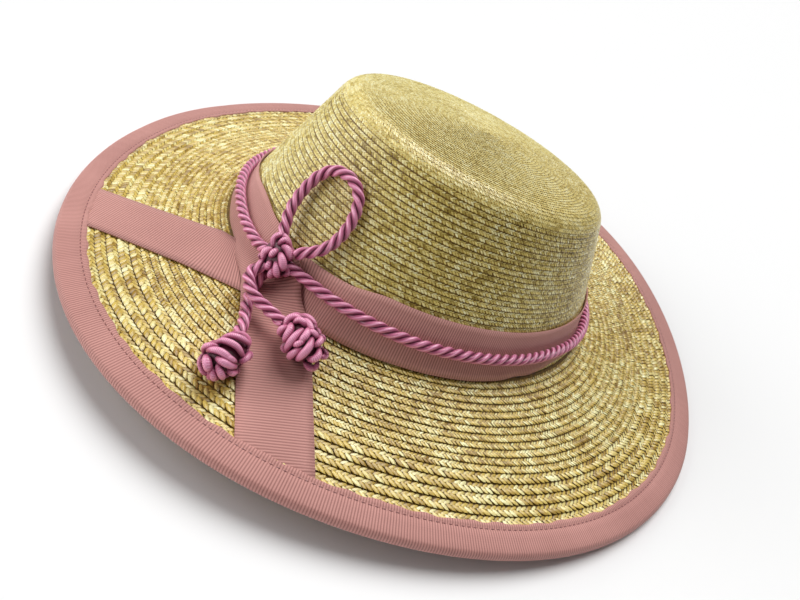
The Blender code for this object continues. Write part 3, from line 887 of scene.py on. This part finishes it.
def plait_tree():
    tree = new_tree("plait", [("Pitch", "NodeSocketFloat", 0.0019), ("Bulge", "NodeSocketFloat", 0.0004),
                              ("Lift", "NodeSocketFloat", 0.0003), ("Slant", "NodeSocketFloat", 0.8),
                              ("Nod", "NodeSocketFloat", 0.6),
                              ("Vertices", "NodeSocketInt", 3), ("Seed", "NodeSocketInt", 1),
                              ("Material", "NodeSocketMaterial", None)])
    w = Wires(tree)
    start = w.node("NodeGroupInput").outputs
    points = w.spread(start)
    facing, row_width = w.kept("facing", "FLOAT_VECTOR"), w.kept("row_width")
    tangent = w.out("GeometryNodeInputTangent")
    turned = w.out("FunctionNodeAxesToRotation", {"Primary Axis": facing, "Secondary Axis": tangent},
                   primary_axis="Z", secondary_axis="X")
    half = w.times(row_width, 0.5)
    travelled = w.node("GeometryNodeSplineParameter").outputs["Length"]
    row = w.node("GeometryNodeCurveOfPoint").outputs["Curve Index"]
    bunch_place = w.out("ShaderNodeCombineXYZ", {0: w.math("DIVIDE", travelled, 0.0085),
                                                 1: w.times(row, 0.83), 2: start["Seed"]})
    bunch = w.out("ShaderNodeTexNoise", {"Vector": bunch_place, "Scale": 1.0, "Detail": 1.0})
    columns = []
    for index, (rows, low, high, slant, height) in enumerate(((start["Vertices"], -1.0, 0.28, -1.0, 1.0),
                                                              (3, 0.12, 1.0, 1.0, 0.8))):
        straw = straw_shape(w, start, rows, low, high, slant, height)
        seed = w.add(start["Seed"], 10.0 * index)
        slip = w.between(-0.14, 0.14, w.add(seed, 5.0))
        slip = w.times(w.add(slip, 0.5 * index), start["Pitch"])
        away = w.out("ShaderNodeVectorMath", {0: tangent, "Scale": slip}, operation="SCALE")
        shifted = w.out("GeometryNodeSetPosition", {"Geometry": points, "Offset": away})
        own_tone = w.between(0.0, 1.0, w.add(seed, 3.0))
        tone = w.add(w.times(own_tone, 0.70), w.times(w.subtract(bunch, 0.36), 1.05))
        toned = w.keep_value(shifted, "tone", tone)
        jitter = w.between(0.84, 1.16, seed)
        size = w.node("ShaderNodeCombineXYZ", {0: w.times(start["Pitch"], jitter), 1: half, 2: jitter})
        nod = w.out("FunctionNodeRandomValue", {0: (-0.12, -0.20, -0.05), 1: (0.12, 0.20, 0.05),
                                                "Seed": w.add(seed, 7.0)}, data_type="FLOAT_VECTOR")
        nod = w.out("ShaderNodeVectorMath", {0: nod, "Scale": start["Nod"]}, operation="SCALE")
        nod = w.out("FunctionNodeEulerToRotation", {"Euler": nod})
        nodded = w.out("FunctionNodeRotateRotation", {"Rotation": turned, "Rotate By": nod},
                       rotation_space="LOCAL")
        placed = w.node("GeometryNodeInstanceOnPoints", {"Points": toned, "Instance": straw,
                                                         "Rotation": nodded, "Scale": size.outputs[0]})
        columns.append(placed.outputs[0])
    joined = w.node("GeometryNodeJoinGeometry")
    for column in columns:
        tree.links.new(column, joined.inputs[0])
    real = w.out("GeometryNodeRealizeInstances", {"Geometry": joined.outputs[0]})
    w.finish(start, w.out("GeometryNodeSetShadeSmooth", {"Geometry": real}))
    return tree


def run_tree(piece, tree, values):
    """Puts a tree on an object with its inputs set by identifier, and keeps the plain result."""
    modifier = piece.modifiers.new("tree", "NODES")
    modifier.node_group = tree
    for item in tree.interface.items_tree:
        if item.item_type == "SOCKET" and item.in_out == "INPUT" and item.name in values:
            modifier[item.identifier] = values[item.name]
    bpy.context.view_layer.update()
    result = bpy.data.meshes.new_from_object(piece.evaluated_get(bpy.context.evaluated_depsgraph_get()))
    piece.modifiers.remove(modifier)
    old = piece.data
    piece.data = result
    result.name = piece.name
    bpy.data.meshes.remove(old)
    return piece


PLAIT = plait_tree()
print("nodes in the plait's tree:", len(PLAIT.nodes))

# %% [markdown]
# ## Guide lines
# One closed line per round, in the middle of the plait, with the direction that the straws
# face and the width of the plait kept on its points. The outer rounds of the brim are wider
# than the others. Crown and brim also get their rounds on the inside, where the same plait shows.

# %% Guides on brim and crown
STEPS = 256
guide_angle = np.linspace(0, 2 * np.pi, STEPS, endpoint=False)


def add_guides(name, rounds):
    """rounds is a list of (points, facing, width)."""
    points, facing, widths = zip(*rounds)
    edges = [(k * STEPS + i, k * STEPS + (i + 1) % STEPS) for k in range(len(rounds)) for i in range(STEPS)]
    mesh = new_mesh(name, np.concatenate(points), edges, [])
    set_values(mesh, "facing", "FLOAT_VECTOR", np.concatenate(facing))
    set_values(mesh, "row_width", "FLOAT", np.concatenate([np.broadcast_to(w, STEPS) for w in widths]))
    return add_object(name, mesh)


def wander(size):
    """A slow drift that keeps a round from being a perfect oval."""
    waves = [size / k * np.sin(k * guide_angle + chance.uniform(0, 2 * np.pi)) for k in (5, 9, 14, 23)]
    return 5 * sum(waves)


def brim_round(place, under=False):
    """A round on the upper or lower face; places 0 to 5 are coarse rounds and 5 to 17 fine ones."""
    width = brim_width(guide_angle)
    fine_width = (width - COARSE_START - COARSE_ROUNDS * COARSE - FOOT_MARGIN) / FINE_ROUNDS
    fine_width = fine_width if place > COARSE_ROUNDS else np.full(STEPS, COARSE)
    inset = COARSE_START + COARSE * min(place, COARSE_ROUNDS) + fine_width * max(place - COARSE_ROUNDS, 0)
    share = 1 - (inset + wander(0.00008)) / width
    facing = -normal_of(brim_point, guide_angle, share)
    points = brim_point(guide_angle, share)
    if under:
        return points - facing * STRAW, -facing, fine_width
    return points, facing, fine_width


def crown_round(surface, place, row_width, inside=False):
    place = np.full(STEPS, place)
    if surface is wall_point:
        place = place + wander(0.0006)
    facing = normal_of(surface, guide_angle, place)
    if surface is dome_point:
        facing = -facing
    points = surface(guide_angle, place)
    if inside:
        return points - facing * STRAW, -facing, row_width
    return points, facing, row_width


def spaced(first, last, pitch):
    count = max(1, round(abs(last - first) / pitch))
    return [first + (last - first) * (k + 0.5) / count for k in range(count)], abs(last - first) / count


def wall_rounds(pitch, first, last, inside=False):
    heights, _ = spaced(first, last, pitch / 0.0585)
    return [crown_round(wall_point, h, pitch, inside) for h in heights]


def shoulder_rounds(pitch, inside=False):
    climbs, _ = spaced(SHOULDER_START, SHOULDER_END, pitch / SHOULDER)
    return [crown_round(shoulder_point, c, pitch, inside) for c in climbs]


def top_rounds(pitch, inside=False):
    shares, _ = spaced(1.0, 0.01, pitch / 0.064)
    return [crown_round(dome_point, s, pitch, inside) for s in shares]


chance = np.random.default_rng(7)
COARSE_START, COARSE, COARSE_ROUNDS = 0.0108, 0.0042, 5
FOOT_MARGIN, FINE_ROUNDS = 0.0012, 12
coarse_rounds = [brim_round(k + 0.5) for k in range(COARSE_ROUNDS)]
fine_rounds = [brim_round(COARSE_ROUNDS + k + 0.5) for k in range(FINE_ROUNDS)]
fine_rounds.append(crown_round(wall_point, 0.028, 0.0030))
under_rounds = [brim_round(k + 0.5, True) for k in range(COARSE_ROUNDS + FINE_ROUNDS)]
print("rounds on the brim:", len(coarse_rounds) + len(fine_rounds))

# %% [markdown]
# ## Straw and its colours
# Straw is glossy and every piece has its own tone, from pale yellow to brown. The tone is
# kept on each straw by the node tree, and slow noise over the whole hat makes some
# stretches lighter, as in a real plait. Each straw is also painted darker and warmer towards
# its edges: painted shade for the gaps between straws. The noise is one shader group that
# every straw and cloth material uses with its own values.

# %% Shader groups
def shader_group(name, inputs, outputs):
    group = bpy.data.node_groups.new(name, "ShaderNodeTree")
    for label, kind, value in inputs:
        socket = group.interface.new_socket(label, in_out="INPUT", socket_type=kind)
        socket.default_value = value
    for label, kind in outputs:
        group.interface.new_socket(label, in_out="OUTPUT", socket_type=kind)
    return group, Wires(group)


def mix_colour(w, factor, one, two, blend="MIX"):
    node = w.node("ShaderNodeMix", data_type="RGBA", blend_type=blend)
    for socket, value in ((node.inputs[0], factor), (node.inputs[6], one), (node.inputs[7], two)):
        if isinstance(value, bpy.types.NodeSocket):
            w.tree.links.new(value, socket)
        else:
            socket.default_value = value
    return node.outputs[2]


def weathering_group():
    """Slow patches and fine specks on object coordinates, both around one half."""
    group, w = shader_group("weathering", [("Patch Scale", "NodeSocketFloat", 40.0),
                                           ("Speck Scale", "NodeSocketFloat", 900.0)],
                            [("Patches", "NodeSocketFloat"), ("Specks", "NodeSocketFloat")])
    start = w.node("NodeGroupInput").outputs
    place = w.node("ShaderNodeTexCoord").outputs["Object"]
    patches = w.node("ShaderNodeTexNoise", {"Vector": place, "Scale": start["Patch Scale"], "Detail": 3.0})
    specks = w.node("ShaderNodeTexNoise", {"Vector": place, "Scale": start["Speck Scale"], "Detail": 2.0})
    w.node("NodeGroupOutput", {"Patches": patches.outputs[0], "Specks": specks.outputs[0]})
    return group


WEATHERING = weathering_group()


def material(name):
    made = bpy.data.materials.new(name)
    made.use_nodes = True
    w = Wires(made.node_tree)
    return made, w, made.node_tree.nodes["Principled BSDF"]


def weathered(name, patch_scale, speck_scale):
    """A material with the slow patches and fine specks ready for use."""
    made, w, shader = material(name)
    weather = w.node("ShaderNodeGroup", {"Patch Scale": patch_scale, "Speck Scale": speck_scale},
                     node_tree=WEATHERING).outputs
    return made, w, shader, weather["Patches"], weather["Specks"]


def set_surface(shader, values):
    for label, value in values.items():
        shader.inputs[label].default_value = value


def paint(w, shader, colour, height, strength, distance):
    """Joins a colour and a bump to the shader."""
    bump = w.out("ShaderNodeBump", {"Height": height, "Strength": strength, "Distance": distance})
    w.tree.links.new(colour, shader.inputs["Base Color"])
    w.tree.links.new(bump, shader.inputs["Normal"])


def uv_parts(w):
    uv = w.out("ShaderNodeUVMap", uv_map="UVMap")
    return w.node("ShaderNodeSeparateXYZ", {0: uv}).outputs


def kept_value(w, name):
    return w.node("ShaderNodeAttribute", attribute_name=name).outputs["Fac"]


def remap(w, value, low, high, to_low, to_high):
    return w.out("ShaderNodeMapRange", {0: value, 1: low, 2: high, 3: to_low, 4: to_high})


def ramp(w, factor, stops):
    node = w.node("ShaderNodeValToRGB", {0: factor})
    while len(node.color_ramp.elements) < len(stops):
        node.color_ramp.elements.new(0.5)
    for element, (place, colour) in zip(node.color_ramp.elements, stops):
        element.position = place
        element.color = (*colour, 1.0)
    return node.outputs[0]


def straw_material(name, dark, middle, light, gloss, gap_shade):
    """Straw with three tones; the last value sets how bright each straw stays at its edges, where shade is
    painted on.
    """
    made, w, shader, patches, specks = weathered(name, 28.0, 1300.0)
    tone = kept_value(w, "tone")
    mixed = w.add(tone, w.times(w.subtract(patches, 0.5), 0.7))
    colour = ramp(w, mixed, [(0.02, dark), (0.50, middle), (0.98, light)])
    colour = mix_colour(w, 1.0, colour, remap(w, specks, 0.3, 0.7, 0.80, 1.12), "MULTIPLY")
    # Painted shade: each straw darker and warmer towards its edges, in the gaps between straws.
    edge_shade_mask = remap(w, kept_value(w, "middle"), 0.0, 0.32, 0.0, 1.0)
    shade = mix_colour(w, edge_shade_mask, (1.3 * gap_shade, 0.90 * gap_shade, 0.35 * gap_shade, 1.0), (1.0, 1.0, 1.0, 1.0))
    colour = mix_colour(w, 1.0, colour, shade, "MULTIPLY")
    paint(w, shader, colour, specks, 0.25, 0.0002)
    rough = remap(w, tone, 0.0, 1.0, gloss + 0.12, gloss - 0.04)
    w.tree.links.new(rough, shader.inputs["Roughness"])
    set_surface(shader, {"Specular IOR Level": 0.6})
    return made


def ground_material():
    """Painted shade: the straw seen deep between the rounds, painted dark."""
    made, w, shader, _, specks = weathered("straw_ground_shade", 60.0, 700.0)
    colour = ramp(w, specks, [(0.3, (0.10, 0.05, 0.005)), (0.7, (0.25, 0.14, 0.02))])
    w.tree.links.new(colour, shader.inputs["Base Color"])
    set_surface(shader, {"Roughness": 0.6})
    return made


straw_brim = straw_material("straw_brim", (0.36, 0.21, 0.025), (0.76, 0.56, 0.13), (1.0, 0.95, 0.50),
                            gloss=0.24, gap_shade=0.24)
straw_crown = straw_material("straw_crown", (0.34, 0.24, 0.035), (0.80, 0.65, 0.20), (1.0, 0.96, 0.56),
                             gloss=0.20, gap_shade=0.50)
# The top's straw is a lighter copy of the crown's, with less painted shade at the edges: painted light on the
# crown's top.
straw_top_lightened = straw_material("straw_top_lightened", (0.52, 0.40, 0.10), (0.84, 0.72, 0.27), (0.99, 0.94, 0.54),
                           gloss=0.26, gap_shade=0.72)
straw_ground_shade = ground_material()

# %% [markdown]
# The brim's outer rounds are coarse and stand out boldly, those of the crown are fine and
# nearly flat. The faces that the photo doesn't show get the same plait with fewer straws.

# %% Lay the plait
def lay_plait(name, rounds, straw, pitch, seed, bulge=0.00036, lift=0.00018, slant=0.7, vertices=3,
              nod=0.6):
    piece = run_tree(add_guides(name, rounds), PLAIT,
                     {"Pitch": pitch, "Bulge": bulge, "Lift": lift, "Slant": slant,
                      "Nod": nod, "Vertices": vertices, "Seed": seed, "Material": straw})
    print(name, "triangles:", 2 * len(piece.data.polygons))
    return piece


plaits = [
    lay_plait("plait_brim_outer", coarse_rounds, straw_brim, 0.0025, 1, 0.00058, 0.00026, 0.8, 4,
              nod=0.3),
    lay_plait("plait_brim_inner", fine_rounds, straw_brim, 0.00165, 2, 0.00042, 0.00022, 0.8, 4),
    lay_plait("plait_crown_side", wall_rounds(0.0019, 0.18, 1.0), straw_crown, 0.0015, 3, 0.00036, 0.00011,
              nod=0.5),
    lay_plait("plait_crown_top", shoulder_rounds(0.0019) + top_rounds(0.0018), straw_top_lightened, 0.0015, 4,
              0.00027, 0.00006, nod=0.15),
    lay_plait("plait_brim_under", under_rounds, straw_brim, 0.0030, 5),
    lay_plait("plait_crown_inside", wall_rounds(0.0026, 0.0, 1.0, True) + shoulder_rounds(0.0026, True)
              + top_rounds(0.0026, True), straw_crown, 0.0031, 6),
]

# %% [markdown]
# ## Ribbon and cord finishes
# Grosgrain is matt with a soft sheen, and its grooves between the ribs are painted darker:
# painted shade. The cord is wound from shiny yarn, with a painted highlight on its strands'
# crests and painted shade in the grooves between them. Its threads are slanting lines in the
# strand's UV map: they run nearly along the strands of the cord, and nearly across those of
# the knots.

# %% Ribbon and cord materials
def ribbon_material(name, colour, dark):
    """Matt cloth with painted shade: darker in the grooves between its ribs."""
    made, w, shader, patches, specks = weathered(name, 25.0, 1800.0)
    parts = uv_parts(w)
    # A mask that is low in the grooves between ribs, where shade is painted, mixed with slow patches.
    wave = w.math("ABSOLUTE", w.math("SINE", w.times(parts[0], math.pi / RIB)))
    ribs = w.math("POWER", wave, 1.1)
    mask = w.subtract(w.add(w.times(ribs, 0.75), w.times(patches, 0.5)), 0.12)
    base = mix_colour(w, mask, (*dark, 1.0), (*colour, 1.0))
    warp = w.math("COSINE", w.times(parts[1], 2 * math.pi / 0.00045))
    paint(w, shader, base, w.add(w.times(warp, 0.25), specks), 0.35, 0.0001)
    set_surface(shader, {"Roughness": 0.72, "Sheen Weight": 0.12, "Sheen Roughness": 0.5})
    return made


def cord_material(name, painted_highlight, colour, dark, painted_groove_shade, pitch, threads_round):
    """Shiny yarn with a painted highlight on the crests and painted shade in the grooves; the pitch along the
    strand and the count round it slant the threads.
    """
    made, w, shader, patches, _ = weathered(name, 160.0, 2500.0)
    parts, shade_depth = uv_parts(w), kept_value(w, "shade_depth")
    slanted = w.add(w.times(parts[0], 2 * math.pi / pitch),
                    w.times(parts[1], 2 * math.pi * threads_round))
    threads = w.times(w.add(w.math("COSINE", slanted), 1.0), 0.5)
    mask = w.add(w.times(threads, 0.45), w.times(patches, 0.9))
    base = mix_colour(w, w.subtract(mask, 0.15), (*dark, 1.0), (*colour, 1.0))
    # Painted highlight: points near the outline, on the strands' crests, are lightened towards the highlight
    # colour.
    top = remap(w, shade_depth, 0.0, 0.22, 0.55, 0.0)
    base = mix_colour(w, w.times(top, w.add(0.35, threads)), base, (*painted_highlight, 1.0))
    # Painted shade: deeper points, in the grooves between strands, are darkened towards the groove colour.
    base = mix_colour(w, w.math("POWER", shade_depth, 0.7), base, (*painted_groove_shade, 1.0))
    paint(w, shader, base, threads, 0.4, 0.00010)
    set_surface(shader, {"Roughness": 0.34, "Specular IOR Level": 0.7, "Sheen Weight": 0.2,
                         "Sheen Tint": (1.0, 0.55, 0.75, 1.0)})
    return made


# The second colour is the painted shade in the rib grooves; the slow patches mix it in too.
ribbon = ribbon_material("rose_grosgrain", (0.66, 0.325, 0.285), (0.25, 0.09, 0.075))
# Each set holds the painted highlight for crests, the yarn's colour, the dark between threads and the painted
# shade for grooves. The stitches carry no value of how deep they lie, so their thread takes part of the
# highlight colour all over and none of the groove shade.
PINKS = ((1.0, 0.52, 0.72), (0.88, 0.25, 0.45), (0.50, 0.07, 0.18), (0.10, 0.004, 0.022))
ROSES = ((0.24, 0.08, 0.07), (0.20, 0.06, 0.05), (0.12, 0.035, 0.03), (0.06, 0.012, 0.012))
cord = cord_material("pink_cord", *PINKS, pitch=0.0045, threads_round=6)
knot_cord = cord_material("pink_knot_cord", *PINKS, pitch=0.00055, threads_round=2)
thread = cord_material("stitch_thread", *ROSES, pitch=0.0005, threads_round=2)
for piece in (long_ribbon, binding):
    piece.data.materials.append(ribbon)
line_ends = [(i, (i + 1) % len(stitch_line)) for i in range(len(stitch_line))]
stitches = add_object("binding_stitches", new_mesh("binding_stitches", stitch_line, line_ends, []))
run_tree(stitches, stitch_tree(), {"Pitch": STITCH_PITCH, "Length": STITCH_LENGTH, "Material": thread})
print("faces in the stitches:", len(stitches.data.polygons))
for piece in (cord_ring, cord_loop, cord_tail_left, cord_tail_right):
    piece.data.materials.append(cord)
for piece in (cord_knot, ball_knot_left, ball_knot_right):
    piece.data.materials.append(knot_cord)
# The solids under the plait get the dark ground: painted shade deep between the rounds.
for name in ("crown", "brim"):
    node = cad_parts[name]
    for slot in node.material_slots:
        slot.link = "OBJECT"
        slot.material = straw_ground_shade

# %% [markdown]
# ## What rides on what
# Nothing in the hat moves on a joint, so every piece rides on the one body. The solids that a
# piece replaces are hidden.

# %% Bodies and replaced solids
dressed = [(piece, "straw", ()) for piece in plaits]
dressed += [(stitches, "ribbon", ()), (binding, "ribbon", ("brim_binding",)),
            (long_ribbon, "ribbon", ("hat_band", "ribbon_tail_left", "ribbon_tail_front")),
            (cord_ring, "cord", ("cord_ring",)), (cord_loop, "cord", ("cord_loop",)),
            (cord_tail_left, "cord", ("cord_tail_left",)), (cord_tail_right, "cord", ("cord_tail_right",)),
            (cord_knot, "cord", ("cord_knot",)), (ball_knot_left, "cord", ("ball_knot_left",)),
            (ball_knot_right, "cord", ("ball_knot_right",))]
for piece, slot, nodes in dressed:
    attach(piece, "root")
    if nodes:
        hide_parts(*nodes)

# %% [markdown]
# ## Floor and light
# A plain pale floor, and three lights from far away, so that they are even over the floor:
# one from above and behind, a lower one from the left, as from a window, and a weak low one
# from the front, which gives the glossy straws of the crown's side their small highlights.
# The sky itself gives little light, and the camera sees it as a bright backdrop.

# %% Floor and lights
corners = np.array([(-30, -30, 0), (30, -30, 0), (30, 30, 0), (-30, 30, 0)])
floor = add_object("floor", new_mesh("floor", corners, [], [(0, 1, 2, 3)]))
floor.location.z = -0.0001
floor_paint, _, floor_shader = material("floor_paint")
set_surface(floor_shader, {"Base Color": (0.90, 0.90, 0.90, 1.0), "Roughness": 0.9})
floor.data.materials.append(floor_paint)


def add_soft_light(name, towards, strength, width):
    """Even light from one direction; the width makes its shadows soft."""
    lamp = bpy.data.lights.new(name, "SUN")
    lamp.energy = strength
    lamp.angle = math.radians(width)
    add_object(name, lamp).rotation_euler = Vector(towards).to_track_quat("Z", "Y").to_euler()


add_soft_light("overhead", (-0.10, 0.42, 0.90), 2.75, 50)
add_soft_light("left", (-0.82, -0.42, 0.34), 1.5, 45)
add_soft_light("low front", (-0.44, -0.85, 0.28), 0.5, 30)
world = bpy.data.worlds.new("studio")
world.use_nodes = True
sky = Wires(world.node_tree)
white = (1.0, 1.0, 1.0, 1.0)
faint, backdrop = [sky.out("ShaderNodeBackground", {"Color": white, "Strength": s}) for s in (0.12, 0.97)]
seen = sky.node("ShaderNodeLightPath").outputs["Is Camera Ray"]
shown = sky.out("ShaderNodeMixShader", {0: seen, 1: faint, 2: backdrop})
world.node_tree.links.new(shown, world.node_tree.nodes["World Output"].inputs["Surface"])
bpy.context.scene.world = world
bpy.context.scene.view_settings.view_transform = "Standard"
